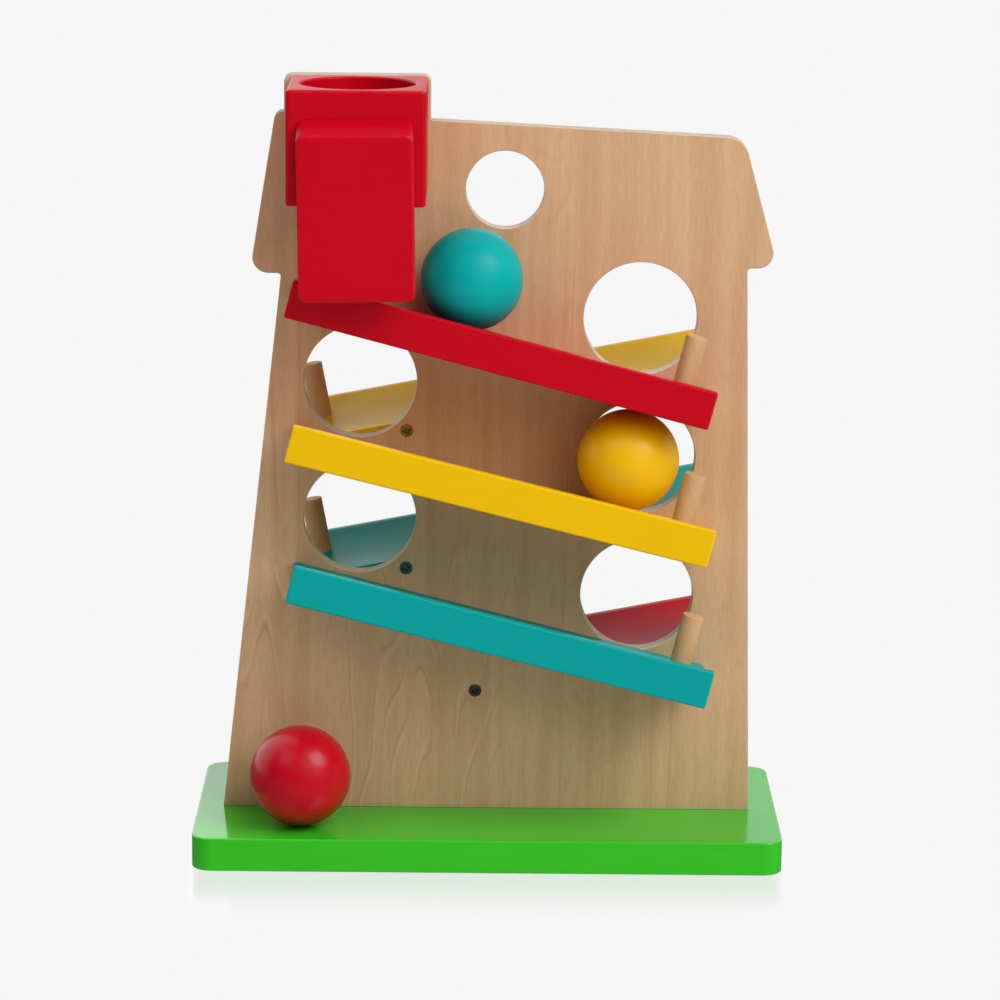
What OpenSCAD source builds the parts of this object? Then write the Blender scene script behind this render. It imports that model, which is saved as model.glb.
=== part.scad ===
// Marble run: balls dropped into the feed block at the chimney of a house-shaped panel roll down ramps
// on its front and its back in turn, and change sides through the round holes.
// Origin: centre of the base board's underside. +X right, +Y to the back, +Z up; the front faces -Y.

/* [Base board] */
// Length of the base board, left to right
base_length = 262.4; // [250:0.1:290]
// Depth of the base board, front to back
base_depth = 128; // [120:1:160]
// Thickness of the base board
base_thickness = 15; // [12:0.5:20]
// Radius of the base board's four corners, seen from above
base_corner = 9; // [5:0.5:14]

/* [House panel] */
// Thickness of the plywood panel
panel_thickness = 9; // [8:0.5:12]
// Distance from the base board's front edge to the panel's front face
panel_setback = 53.5; // [52:0.5:60]

/* [Balls and holes] */
// Diameter of a ball
ball_diameter = 45; // [44.5:0.1:46]
// Diameter of the holes that a ball rolls through
hole_diameter = 50.5; // [49:0.5:51]
// Diameter of the hole at the top, for a finger
finger_hole_diameter = 34.6; // [25:0.2:36]
// Gap between a ball and the surfaces that it rolls on
ball_gap = 0.3; // [0.1:0.1:0.5]

/* [Ramps] */
// Length of a ramp along its slope
ramp_length = 190.7; // [185:0.1:195]
// Length of the last ramp, the lowest one behind the panel
last_ramp_length = 143; // [120:1:150]
// Width of a ramp, from the panel to its rail's outer face
ramp_width = 50; // [48:0.5:54]
// Height of a ramp at its rail
ramp_height = 17; // [16:0.5:20]
// Width of the rail's flat top
rail_width = 4; // [3:0.5:6]
// Depth of the rolling groove at the panel, below the rail's top
groove_depth = 9.2; // [8:0.1:10]

/* [Pegs] */
// Diameter of the stop pegs
peg_diameter = 9.5; // [8:0.5:10]
// Length of a stop peg
peg_length = 30; // [26:0.5:32]
// Height of a peg's end above the rail's top
peg_rise = 19.1; // [16:0.1:20]
// Distance from a peg's axis to the ramp's lower end
peg_inset = 14.1; // [12:0.1:16]
// Distance from a peg's axis to the panel
peg_offset = 32; // [28:0.5:36]

/* [Feed block and guard] */
// Width and depth of the feed block
block_side = 60; // [58:0.5:62]
// Height of the feed block
block_height = 50; // [40:1:60]
// Diameter of the feed block's bore
block_bore = 50; // [48:0.5:52]
// Width of the guard board
guard_width = 50; // [44:1:56]
// Thickness of the guard board
guard_thickness = 12; // [10:0.5:15]
// Height of the guard board at its back
guard_height = 77.6; // [70:0.1:80]
// Drop of the guard's slanted top end, from its back to its front
guard_top_drop = 6; // [0:0.5:8]
// Lean of the guard board, in degrees, its foot to the right
guard_lean = 1; // [-2:0.5:2]

/* [Fasteners] */
// Diameter of a screw's shank
screw_diameter = 3; // [2.5:0.1:3.4]
// Diameter of a screw's head
screw_head = 6; // [5.5:0.1:6.6]
// Length of the screws through the panel
panel_screw_length = 22; // [20:1:24]
// Length of the screws up through the base board
base_screw_length = 36; // [30:1:45]
// Diameter of the guard's dowel pins
pin_diameter = 6; // [5:0.5:6]
// Length of the guard's dowel pins
pin_length = 15; // [12:0.5:16]
// Gap round a fastener or a peg in its hole
fit_gap = 0.05; // [0.02:0.01:0.1]

/* [Hidden] */
$fn = 96;
edge_round = 1.5;        // rounding of the painted boards' edges
bore_chamfer = 1;       // chamfer at the feed bore's two mouths
arc_step = 10;          // degrees between the points of a rounded corner
through = 1;            // how far a cutting shape runs past a face

ball_radius = ball_diameter / 2;
panel_front = -base_depth / 2 + panel_setback;
panel_middle = panel_front + panel_thickness / 2;

// The groove's arc is level at the panel and ends at the rail.
groove_width = ramp_width - rail_width;
groove_radius = (groove_width ^ 2 + groove_depth ^ 2) / (2 * groove_depth);
// How far a ball's centre is off the panel, and above the rail's top.
ball_offset = ball_radius + ball_gap;
ball_rise = groove_radius - groove_depth - sqrt((groove_radius - ball_offset) ^ 2 - ball_offset ^ 2);
ramp_screw_drop = 11.8; // from the rail's top to the ramp's screws

// The house's corners: x, height above the base board, corner radius.
HOUSE_CORNERS = [
    [-119.8, 0, 0], [118.8, 0, 0],
    [113.2, 248.8, 1.5], [126.6, 249, 6.8], [110.7, 306.8, 10],
    [-27.6, 313.5, 1], [-27.6, 333.2, 3.5], [-92.2, 333.2, 3.5], [-92.2, 316.7, 0],
    [-96.1, 316.8, 3.5], [-107.5, 245, 7], [-93.6, 244.8, 1.5]
];
// The holes' centres: x, z.
BALL_HOLES = [[66.1, 241], [66.2, 178], [66.3, 115], [-58.3, 211.6], [-58.4, 149.7]];
FINGER_HOLE = [5.4, 298];

// A ramp: the side of the panel that it is on, the middle of its rail's top (x, z), its slope in degrees,
// its length, and its screws' distances down the slope from its middle.
FRONT = 0;
REAR = 180;
FRONT_SCREWS = [-43, 43];
REAR_SCREWS = [-48.9, 42.2];
LAST_SCREWS = [-34, 34];
FRONT_RED = [FRONT, [6.3, 240.7], 14.6, ramp_length, FRONT_SCREWS];
FRONT_YELLOW = [FRONT, [6.6, 178.1], 13.85, ramp_length, FRONT_SCREWS];
FRONT_TEAL = [FRONT, [7.1, 114.8], 14.1, ramp_length, FRONT_SCREWS];
REAR_YELLOW = [REAR, [1.7, 209], 11, ramp_length, REAR_SCREWS];
REAR_TEAL = [REAR, [1.7, 146.1], 11, ramp_length, REAR_SCREWS];
REAR_RED = [REAR, [25.1, 88], 11, last_ramp_length, LAST_SCREWS];

block_center_x = -58.9;
block_bottom = 298;
block_middle = panel_front - block_side / 2;
block_front = panel_front - block_side;
BLOCK_SCREWS = [-22, 22];   // from the block's middle
block_screw_z = 323;

guard_bottom = 258.6;
guard_corner = 3.5;         // radius of the guard's corners, seen from the front
GUARD_PINS = [-19, 19];     // from the block's middle
guard_pin_z = 315;
pin_in_guard = 7;           // depth of the pins in the guard

BASE_SCREWS = [-80, 0, 80];
base_screw_recess = 0.5;    // the heads sit this far above the underside

teal_ball_place = -20;      // down the slope from the red ramp's middle
yellow_ball_place = 51.8;   // down the slope from the yellow ramp's middle
RED_BALL = [-83.7, -40.7];  // on the base board

// ---- Outlines ----

function unit(v) = v / norm(v);

// The points of corner b, between its neighbours a and c, rounded with the radius b.z.
function corner_points(a, b, c) =
    b.z == 0 ? [[b.x, b.y]] :
    let (
        p = [b.x, b.y],
        to_a = unit([a.x, a.y] - p),
        to_c = unit([c.x, c.y] - p),
        half = acos(to_a * to_c) / 2,
        centre = p + unit(to_a + to_c) * b.z / sin(half),
        from = p + to_a * b.z / tan(half) - centre,
        to = p + to_c * b.z / tan(half) - centre,
        start = atan2(from.y, from.x),
        sweep = (atan2(to.y, to.x) - start + 540) % 360 - 180,
        steps = ceil(abs(sweep) / arc_step)
    )
    [for (i = [0 : steps]) centre + b.z * [cos(start + sweep * i / steps), sin(start + sweep * i / steps)]];

function rounded_outline(corners) =
    let (n = len(corners))
    [for (i = [0 : n - 1]) each corner_points(corners[(i + n - 1) % n], corners[i], corners[(i + 1) % n])];

module rounded_rectangle(size, corner) {
    square([size.x - 2 * corner, size.y], center = true);
    square([size.x, size.y - 2 * corner], center = true);
    for (x = [-1, 1], y = [-1, 1])
        translate([x * (size.x / 2 - corner), y * (size.y / 2 - corner)]) circle(corner);
}

// A board with rounded corners and rounded edges, standing on z = 0.
module rounded_board(size, corner, edge) {
    linear_extrude(size.z) rounded_rectangle([size.x - 2 * edge, size.y - 2 * edge], corner - edge);
    translate([0, 0, edge]) linear_extrude(size.z - 2 * edge) rounded_rectangle([size.x, size.y], corner);
    reach = [size.x / 2 - corner, size.y / 2 - corner];
    for (z = [edge, size.z - edge]) translate([0, 0, z]) {
        for (x = [-1, 1], y = [-1, 1]) translate([x * reach.x, y * reach.y])
            rotate_extrude() translate([corner - edge, 0]) circle(edge);
        for (y = [-1, 1]) translate([0, y * (size.y / 2 - edge), 0])
            rotate([0, 90, 0]) cylinder(h = 2 * reach.x, r = edge, center = true);
        for (x = [-1, 1]) translate([x * (size.x / 2 - edge), 0, 0])
            rotate([90, 0, 0]) cylinder(h = 2 * reach.y, r = edge, center = true);
    }
}

// ---- Places ----

// On a ramp: x runs down the slope from its middle, -y away from the panel, z up from the rail's top.
module on_ramp(ramp) {
    translate([ramp[1].x, panel_middle, ramp[1].y]) rotate([0, 0, ramp[0]])
        translate([0, -panel_thickness / 2, 0]) rotate([0, ramp[2], 0]) children();
}

// At each of a ramp's screws: z points out of the head, which is flush with the panel's other face.
module at_ramp_screws(ramp) {
    on_ramp(ramp) for (x = ramp[4])
        translate([x, panel_thickness, -ramp_screw_drop]) rotate([-90, 0, 0]) children();
}

module at_peg(ramp) {
    on_ramp(ramp) translate([ramp[3] / 2 - peg_inset, -peg_offset, peg_rise - peg_length]) children();
}

module at_block_screws() {
    for (x = BLOCK_SCREWS) translate([block_center_x + x, panel_front + panel_thickness, block_screw_z])
        rotate([-90, 0, 0]) children();
}

module at_guard_pins() {
    for (x = GUARD_PINS) translate([block_center_x + x, block_front - pin_in_guard, guard_pin_z])
        rotate([-90, 0, 0]) children();
}

module at_base_screws() {
    for (x = BASE_SCREWS) translate([x, panel_middle, base_screw_recess]) rotate([180, 0, 0]) children();
}

// ---- Fasteners and their holes ----

// A countersunk screw with a cross recess: its head's face is at z = 0 and its point is down.
module screw(length) {
    head_height = (screw_head - screw_diameter) / 2;
    point_height = screw_diameter;
    difference() {
        union() {
            translate([0, 0, -head_height]) cylinder(h = head_height, d1 = screw_diameter, d2 = screw_head);
            translate([0, 0, point_height - length]) cylinder(h = length - point_height, d = screw_diameter);
            translate([0, 0, -length]) cylinder(h = point_height, d1 = screw_diameter / 6, d2 = screw_diameter);
        }
        for (turn = [0, 90]) rotate(turn) cube([screw_head * 0.55, screw_head * 0.13, 2 * head_height], center = true);
    }
}

// The room that a screw takes in the wood.
module screw_hole(length) {
    head_height = (screw_head - screw_diameter) / 2;
    translate([0, 0, -length - fit_gap]) cylinder(h = length + fit_gap + through, d = screw_diameter + 2 * fit_gap);
    translate([0, 0, -head_height - fit_gap])
        cylinder(h = head_height + fit_gap, d1 = screw_diameter, d2 = screw_head + 2 * fit_gap);
    cylinder(h = through, d = screw_head + 2 * fit_gap);
}

module pin_hole() {
    translate([0, 0, -fit_gap]) cylinder(h = pin_length + 2 * fit_gap, d = pin_diameter + 2 * fit_gap);
}

// ---- Base and house ----

module base_board() {
    color("limegreen") difference() {
        rounded_board([base_length, base_depth, base_thickness], base_corner, edge_round);
        at_base_screws() screw_hole(base_screw_length);
    }
}

module house_panel() {
    color("burlywood") difference() {
        translate([0, panel_middle, base_thickness]) rotate([90, 0, 0])
            linear_extrude(panel_thickness, center = true) difference() {
                polygon(rounded_outline(HOUSE_CORNERS));
                for (hole = BALL_HOLES) translate(hole - [0, base_thickness]) circle(d = hole_diameter);
                translate(FINGER_HOLE - [0, base_thickness]) circle(d = finger_hole_diameter);
            }
        for (ramp = [FRONT_RED, FRONT_YELLOW, FRONT_TEAL, REAR_YELLOW, REAR_TEAL, REAR_RED])
            at_ramp_screws(ramp) screw_hole(panel_screw_length);
        at_block_screws() screw_hole(panel_screw_length);
        at_base_screws() screw_hole(base_screw_length);
    }
}

// ---- Feed ----

module feed_block() {
    color("crimson") difference() {
        translate([block_center_x, block_middle, block_bottom])
            rounded_board([block_side, block_side, block_height], edge_round + 0.5, edge_round);
        translate([block_center_x, block_middle, block_bottom]) {
            translate([0, 0, -through]) cylinder(h = block_height + 2 * through, d = block_bore);
            translate([0, 0, -through]) cylinder(h = bore_chamfer + through,
                d1 = block_bore + 2 * (bore_chamfer + through), d2 = block_bore);
            translate([0, 0, block_height - bore_chamfer]) cylinder(h = bore_chamfer + through,
                d1 = block_bore, d2 = block_bore + 2 * (bore_chamfer + through));
        }
        at_block_screws() screw_hole(panel_screw_length);
        at_guard_pins() pin_hole();
    }
}

// The guard's outline from the side: y from its back face, z from its foot.
GUARD_SIDE = [
    [0, 0], [-guard_thickness, 0], [-guard_thickness, guard_height - guard_top_drop], [0, guard_height]
];

module guard_outline_from_front() {
    translate([0, guard_height / 2]) rounded_rectangle([guard_width, guard_height], guard_corner);
}

module feed_guard() {
    color("crimson") difference() {
        translate([block_center_x, block_front, guard_pin_z]) rotate([0, -guard_lean, 0])
            translate([0, 0, guard_bottom - guard_pin_z]) intersection() {
                rotate([90, 0, 0]) linear_extrude(guard_thickness) guard_outline_from_front();
                rotate([90, 0, 90]) linear_extrude(guard_width + 2 * through, center = true) polygon(GUARD_SIDE);
            }
        at_guard_pins() pin_hole();
    }
}

// ---- Ramps and pegs ----

// A ramp's section: x away from the panel, y from the rail's top.
module ramp_section() {
    difference() {
        translate([0, -ramp_height]) square([ramp_width, ramp_height]);
        translate([0, groove_radius - groove_depth]) circle(groove_radius, $fn = 360);
    }
}

module ramp_body(ramp) {
    difference() {
        on_ramp(ramp) mirror([0, 1, 0]) rotate([90, 0, 90])
            linear_extrude(ramp[3], center = true) ramp_section();
        at_ramp_screws(ramp) screw_hole(panel_screw_length);
    }
}

module ramp_with_peg_hole(ramp) {
    difference() {
        ramp_body(ramp);
        at_peg(ramp) cylinder(h = peg_length, d = peg_diameter + 2 * fit_gap);
    }
}

module peg(ramp) {
    color("wheat") at_peg(ramp) cylinder(h = peg_length, d = peg_diameter);
}

module ramp_screws(ramp) {
    color("dimgray") at_ramp_screws(ramp) screw(panel_screw_length);
}

module front_ramp_red() { color("crimson") ramp_with_peg_hole(FRONT_RED); }
module front_ramp_yellow() { color("gold") ramp_with_peg_hole(FRONT_YELLOW); }
module front_ramp_teal() { color("lightseagreen") ramp_with_peg_hole(FRONT_TEAL); }
module rear_ramp_yellow() { color("gold") ramp_with_peg_hole(REAR_YELLOW); }
module rear_ramp_teal() { color("lightseagreen") ramp_with_peg_hole(REAR_TEAL); }
module rear_ramp_red() { color("crimson") ramp_body(REAR_RED); }

module front_peg_red() { peg(FRONT_RED); }
module front_peg_yellow() { peg(FRONT_YELLOW); }
module front_peg_teal() { peg(FRONT_TEAL); }
module rear_peg_yellow() { peg(REAR_YELLOW); }
module rear_peg_teal() { peg(REAR_TEAL); }

module front_red_screws() { ramp_screws(FRONT_RED); }
module front_yellow_screws() { ramp_screws(FRONT_YELLOW); }
module front_teal_screws() { ramp_screws(FRONT_TEAL); }
module rear_yellow_screws() { ramp_screws(REAR_YELLOW); }
module rear_teal_screws() { ramp_screws(REAR_TEAL); }
module rear_red_screws() { ramp_screws(REAR_RED); }

// ---- Other fasteners ----

module block_screws() { color("dimgray") at_block_screws() screw(panel_screw_length); }
module guard_pins() { color("wheat") at_guard_pins() cylinder(h = pin_length, d = pin_diameter); }
module base_screws() { color("dimgray") at_base_screws() screw(base_screw_length); }

// ---- Balls ----

module ball_on_ramp(ramp, place) {
    on_ramp(ramp) translate([place, -ball_offset, ball_rise]) sphere(ball_radius);
}

module ball_teal() { color("lightseagreen") ball_on_ramp(FRONT_RED, teal_ball_place); }
module ball_yellow() { color("gold") ball_on_ramp(FRONT_YELLOW, yellow_ball_place); }
module ball_red() {
    color("crimson") translate([RED_BALL.x, RED_BALL.y, base_thickness + ball_offset]) sphere(ball_radius);
}

base_board();
house_panel();
feed_block();
feed_guard();
front_ramp_red();
front_ramp_yellow();
front_ramp_teal();
rear_ramp_yellow();
rear_ramp_teal();
rear_ramp_red();
front_peg_red();
front_peg_yellow();
front_peg_teal();
rear_peg_yellow();
rear_peg_teal();
front_red_screws();
front_yellow_screws();
front_teal_screws();
rear_yellow_screws();
rear_teal_screws();
rear_red_screws();
block_screws();
guard_pins();
base_screws();
ball_teal();
ball_yellow();
ball_red();
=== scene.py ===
"""The looks of a wooden marble run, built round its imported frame.

The frame gives every place and every outer size. This script gives the boards their rounded edges, the
grooved ramps their section, and the balls and pegs their turned shapes. It dresses each of them in its
paint, veneer or metal.
"""
import logging
import math
from dataclasses import dataclass
from enum import Enum
from typing import Callable, Sequence

import bmesh
import bpy
from mathutils import Matrix, Vector


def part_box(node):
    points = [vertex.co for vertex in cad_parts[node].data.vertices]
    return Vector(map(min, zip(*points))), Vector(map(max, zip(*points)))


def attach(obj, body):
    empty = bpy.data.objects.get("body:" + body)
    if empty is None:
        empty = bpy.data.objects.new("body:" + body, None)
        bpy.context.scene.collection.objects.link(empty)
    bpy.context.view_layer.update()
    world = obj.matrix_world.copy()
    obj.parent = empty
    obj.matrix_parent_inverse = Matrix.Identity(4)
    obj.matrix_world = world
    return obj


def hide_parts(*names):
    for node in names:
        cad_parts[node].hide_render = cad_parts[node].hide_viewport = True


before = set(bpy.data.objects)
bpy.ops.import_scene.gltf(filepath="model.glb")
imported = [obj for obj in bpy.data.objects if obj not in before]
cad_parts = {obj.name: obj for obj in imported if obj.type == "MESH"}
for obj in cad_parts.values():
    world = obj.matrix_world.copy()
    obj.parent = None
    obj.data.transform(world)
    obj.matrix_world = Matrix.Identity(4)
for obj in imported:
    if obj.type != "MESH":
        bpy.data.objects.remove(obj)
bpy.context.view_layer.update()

LOG = logging.getLogger("marble_run")
MM = 0.001
HOUSE_BODY = "house"
RIM = "rim"
WHITE = (1.0, 1.0, 1.0, 1.0)

Colour = tuple[float, float, float]
Triple = tuple[float, float, float]
Socket = bpy.types.NodeSocket


class Side(Enum):
    """The side of the house panel that a ramp is on; the value is its turn about the upright axis."""

    FRONT = 0.0
    REAR = math.pi


def dimmed(colour: Colour, share: float) -> Colour:
    """The colour at this share of its brightness."""
    return tuple(c * share for c in colour)


def stored(name: str, mesh: bmesh.types.BMesh) -> bpy.types.Mesh:
    """Stores a shape under this name, and frees it."""
    data = bpy.data.meshes.new(name)
    mesh.to_mesh(data)
    mesh.free()
    return data


def placed(name: str, data: bpy.types.ID) -> bpy.types.Object:
    """Adds an object with this name and data to the scene."""
    thing = bpy.data.objects.new(name, data)
    bpy.context.scene.collection.objects.link(thing)
    return thing


# -----------------------------------------------------------------------------
# Node graphs
# -----------------------------------------------------------------------------


@dataclass(frozen=True)
class Noise:
    """How a noise is drawn.

    Attributes:
        scale: Its scale, one number or one for each axis.
        detail: Its octaves.
        roughness: How much the finer octaves count.
    """

    scale: float | Triple
    detail: float = 2.0
    roughness: float = 0.5


class Graph:
    """A shader node tree that is being wired up."""

    def __init__(self, tree: bpy.types.NodeTree) -> None:
        """Keeps the tree.

        Args:
            tree: The node tree of a material, a world or a group.
        """
        self.tree = tree

    def add(self, kind: str, **settings: object) -> bpy.types.Node:
        """Adds a node.

        Args:
            kind: The node's type, such as ShaderNodeMath.
            **settings: Properties of the node to set.

        Returns:
            The new node.
        """
        node = self.tree.nodes.new(kind)
        for name, value in settings.items():
            setattr(node, name, value)
        return node

    def put(self, target: Socket, value: object) -> None:
        """Links a socket to an input, or sets the input to a plain value."""
        if isinstance(value, Socket):
            self.tree.links.new(value, target)
        else:
            target.default_value = value

    def math(self, operation: str, *values: object, clamp: bool = False) -> Socket:
        """Adds a Math node.

        Args:
            operation: The node's operation.
            *values: Sockets or numbers for its inputs.
            clamp: Whether the result is kept from 0 to 1.

        Returns:
            The node's output.
        """
        node = self.add("ShaderNodeMath", operation=operation, use_clamp=clamp)
        for target, value in zip(node.inputs, values):
            self.put(target, value)
        return node.outputs[0]

    def times(self, first: object, second: object, clamp: bool = False) -> Socket:
        """The product of two sockets or numbers."""
        return self.math("MULTIPLY", first, second, clamp=clamp)

    def plus(self, first: object, second: object, clamp: bool = False) -> Socket:
        """The sum of two sockets or numbers."""
        return self.math("ADD", first, second, clamp=clamp)

    def split(self, vector: Socket) -> bpy.types.bpy_prop_collection:
        """The X, Y and Z of a vector, by name."""
        node = self.add("ShaderNodeSeparateXYZ")
        self.put(node.inputs[0], vector)
        return node.outputs

    def stretch(self, vector: Socket, scale: Triple) -> Socket:
        """Multiplies a vector, axis by axis."""
        node = self.add("ShaderNodeVectorMath", operation="MULTIPLY")
        self.put(node.inputs[0], vector)
        node.inputs[1].default_value = scale
        return node.outputs[0]

    def noise(self, vector: Socket, noise: Noise) -> Socket:
        """Adds a Noise Texture node.

        Args:
            vector: Where the noise is read.
            noise: How it is drawn.

        Returns:
            The noise, from about 0.2 to 0.8.
        """
        scale = noise.scale
        if isinstance(scale, tuple):
            vector, scale = self.stretch(vector, scale), 1.0
        node = self.add("ShaderNodeTexNoise")
        self.put(node.inputs["Vector"], vector)
        node.inputs["Scale"].default_value = scale
        node.inputs["Detail"].default_value = noise.detail
        node.inputs["Roughness"].default_value = noise.roughness
        return node.outputs["Fac"]

    def ramp(self, value: Socket, low: float, high: float, to_low: float = 0.0,
             to_high: float = 1.0) -> Socket:
        """Maps a stretch of values smoothly onto another.

        Args:
            value: The socket to map.
            low: The value that gives to_low.
            high: The value that gives to_high.
            to_low: The result at the low end.
            to_high: The result at the high end.

        Returns:
            The mapped value.
        """
        node = self.add("ShaderNodeMapRange", interpolation_type="SMOOTHSTEP")
        for target, number in zip(node.inputs, (value, low, high, to_low, to_high)):
            self.put(target, number)
        return node.outputs["Result"]

    def band(self, value: Socket, start: float, peak: float, end: float) -> Socket:
        """A hump that is 1 at the peak, and 0 up to the start and from the end on."""
        return self.times(self.ramp(value, start, peak), self.ramp(value, peak, end, 1.0, 0.0))

    def mix(self, share: object, first: object, second: object) -> Socket:
        """Mixes two colours.

        Args:
            share: How much of the second colour is taken, a socket or a number.
            first: The first colour, a socket or a colour of three numbers.
            second: The second one.

        Returns:
            The mixed colour.
        """
        node = self.add("ShaderNodeMix", data_type="RGBA", blend_type="MIX")
        self.put(node.inputs[0], share)
        for target, value in ((node.inputs[6], first), (node.inputs[7], second)):
            self.put(target, value if isinstance(value, Socket) else (*value, 1.0))
        return node.outputs[2]

    def group(self, tree: bpy.types.NodeTree, **inputs: object) -> bpy.types.bpy_prop_collection:
        """Places a node group.

        Args:
            tree: The group.
            **inputs: Sockets or numbers for its inputs, with _ for a space in a name.

        Returns:
            The group node's outputs, by name.
        """
        node = self.add("ShaderNodeGroup", node_tree=tree)
        for name, value in inputs.items():
            self.put(node.inputs[name.replace("_", " ")], value)
        return node.outputs


class SharedGroups:
    """The node groups that more than one material uses, each built once."""

    # Wood: the growth rings' swell and waver, where their lines break off, the course and patches of the
    # long streaks, and the fibres and clouds.
    SWELL = Noise((36.0, 36.0, 6.5), 1.0, 0.4)
    WOBBLE = Noise((260.0, 260.0, 36.0), 3.0)
    BREAKS = Noise((160.0, 160.0, 25.0), 4.0)
    COURSE = Noise((48.0, 48.0, 1.0), 1.0)
    PATCHES = Noise((22.0, 22.0, 5.0))
    FIBRES = Noise(1.0, 3.0, 0.7)
    CLOUDS = Noise((130.0, 130.0, 6.0), 3.0, 0.6)
    FIBRE_STRETCH = (1.0, 1.0, 0.09)
    WOBBLE_SHARE = 0.3
    # Where in a growth ring the dark line and the pale band start, peak and end.
    LINE_BAND = (0.84, 0.93, 1.0)
    PALE_BAND = (0.6, 0.78, 0.88)
    STREAK_AT, STREAK_WIDTH = 0.55, 0.012
    # Paint: its orange peel, the fibres under it, its slow mottle, and the patches along its edges that are
    # lighter, partly a worn coat and partly a painted highlight.
    PEEL = Noise(900.0)
    COAT_FIBRES = Noise((45.0, 900.0, 900.0), 2.0, 0.6)
    MOTTLE = Noise(25.0, 3.0, 0.6)
    WEAR_AND_HIGHLIGHT_PATCHES = Noise(260.0, 4.0, 0.65)
    MOTTLE_TONE, FIBRE_TONE = 0.6, 1.4
    ROUGHNESS_SWING = 0.03
    WEAR_AND_HIGHLIGHT_EVERYWHERE = 0.3

    def __init__(self) -> None:
        """Builds the groups."""
        self.grain = self._new("wood grain", ("Rings", "Fibre Width"),
                               ("Line", "Pale", "Streak", "Fibre", "Cloud"), self._wire_grain)
        self.skin = self._new("paint skin", ("Peel", "Streaks"), ("Tone", "Roughness", "Height"),
                              self._wire_skin)
        # The edge mask lightens the paint along rounded edges: partly wear, partly a painted highlight.
        self.wear = self._new("edge wear", ("Rim", "Amount"), ("Mask",), self._wire_wear_and_highlight)
        self.specks = self._new("specks", ("Spacing", "Size"), ("Mask",), self._wire_specks)

    @staticmethod
    def _new(name: str, values: Sequence[str], outputs: Sequence[str],
             wire: Callable[[Graph, dict, dict], None]) -> bpy.types.NodeTree:
        """Makes a group with a vector input and number sockets, and wires its inside.

        Args:
            name: The group's name.
            values: The names of its number inputs.
            outputs: The names of its number outputs.
            wire: Links the inputs to the outputs.

        Returns:
            The group.
        """
        tree = bpy.data.node_groups.new(name, "ShaderNodeTree")
        tree.interface.new_socket("Vector", in_out="INPUT", socket_type="NodeSocketVector")
        for way, names in (("INPUT", values), ("OUTPUT", outputs)):
            for socket in names:
                tree.interface.new_socket(socket, in_out=way, socket_type="NodeSocketFloat")
        graph = Graph(tree)
        entry = graph.add("NodeGroupInput")
        leave = graph.add("NodeGroupOutput")
        wire(graph, entry.outputs, leave.inputs)
        return tree

    @classmethod
    def _wire_grain(cls, g: Graph, given: dict, result: dict) -> None:
        """Wires growth rings, streaks, fibres and clouds; the grain runs along the vector's Z axis."""
        vector = given["Vector"]
        swell = g.times(g.noise(vector, cls.SWELL), given["Rings"])
        wobble = g.times(g.noise(vector, cls.WOBBLE), cls.WOBBLE_SHARE)
        phase = g.math("FRACT", g.plus(swell, wobble))
        broken = g.ramp(g.noise(vector, cls.BREAKS), 0.35, 0.6)
        g.put(result["Line"], g.times(g.band(phase, *cls.LINE_BAND), broken))
        g.put(result["Pale"], g.times(g.band(phase, *cls.PALE_BAND), broken))
        away = g.math("ABSOLUTE", g.math("SUBTRACT", g.noise(vector, cls.COURSE), cls.STREAK_AT))
        thin = g.ramp(away, 0.0, cls.STREAK_WIDTH, 1.0, 0.0)
        g.put(result["Streak"], g.times(thin, g.ramp(g.noise(vector, cls.PATCHES), 0.48, 0.56)))
        fibre_at = g.add("ShaderNodeVectorMath", operation="SCALE")
        g.put(fibre_at.inputs[0], g.stretch(vector, cls.FIBRE_STRETCH))
        g.put(fibre_at.inputs["Scale"], g.math("DIVIDE", 1.0, given["Fibre Width"]))
        g.put(result["Fibre"], g.ramp(g.noise(fibre_at.outputs[0], cls.FIBRES), 0.32, 0.68))
        g.put(result["Cloud"], g.ramp(g.noise(vector, cls.CLOUDS), 0.3, 0.7))

    @classmethod
    def _wire_skin(cls, g: Graph, given: dict, result: dict) -> None:
        """Wires a sprayed coat: a fine orange peel over faint fibres that show through."""
        vector = given["Vector"]
        peel = g.noise(vector, cls.PEEL)
        fibres = g.noise(vector, cls.COAT_FIBRES)
        mottle = g.noise(vector, cls.MOTTLE)
        shown = g.times(g.math("SUBTRACT", fibres, 0.5), given["Streaks"])
        tone = g.plus(g.times(mottle, cls.MOTTLE_TONE), g.times(shown, cls.FIBRE_TONE), clamp=True)
        g.put(result["Tone"], tone)
        swing = cls.ROUGHNESS_SWING
        g.put(result["Roughness"], g.ramp(mottle, 0.3, 0.7, -swing, swing))
        g.put(result["Height"], g.plus(g.times(peel, given["Peel"]), g.times(fibres, given["Streaks"])))

    @classmethod
    def _wire_wear_and_highlight(cls, g: Graph, given: dict, result: dict) -> None:
        """Wires a broken mask along the rounded edges, where a coat is thin and worn, and where the paint is
        lightened as a painted highlight.
        """
        broken = g.ramp(g.noise(given["Vector"], cls.WEAR_AND_HIGHLIGHT_PATCHES), 0.45, 0.62)
        worn_and_highlight = g.plus(g.times(broken, 1.0 - cls.WEAR_AND_HIGHLIGHT_EVERYWHERE), cls.WEAR_AND_HIGHLIGHT_EVERYWHERE)
        g.put(result["Mask"], g.times(g.times(given["Rim"], given["Amount"]), worn_and_highlight, clamp=True))

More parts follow.
